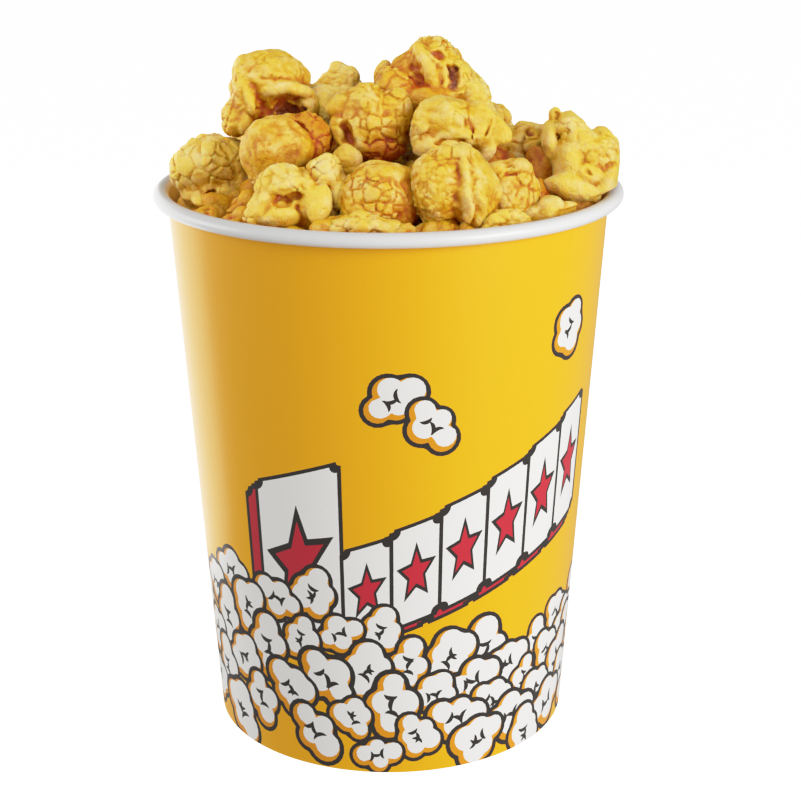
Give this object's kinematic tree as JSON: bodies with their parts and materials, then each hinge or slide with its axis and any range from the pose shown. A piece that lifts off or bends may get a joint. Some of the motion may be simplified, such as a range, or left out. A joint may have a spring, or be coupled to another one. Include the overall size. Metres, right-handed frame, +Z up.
{
  "type": "bucket of popcorn",
  "caption": "Round tapered paper tub with a rolled white rim and a yellow printed wall, filled with cheese-coated popcorn heaped above the rim.",
  "frame": {"origin": "on the table, under the middle of the tub", "axes": "+Z up along the tub's axis; -Y is the front of the tub, with the banner print, and its glued side seam is at the back, on +Y"},
  "size_m": [0.118, 0.118, 0.1782],
  "materials": {
    "printed_board": "satin",
    "white_board": "matte",
    "popcorn": "satin"
  },
  "bodies": {
    "root": {"sidewall": "printed_board", "base_disc": "white_board", "popcorn_heap": "popcorn"}
  },
  "joints": []
}
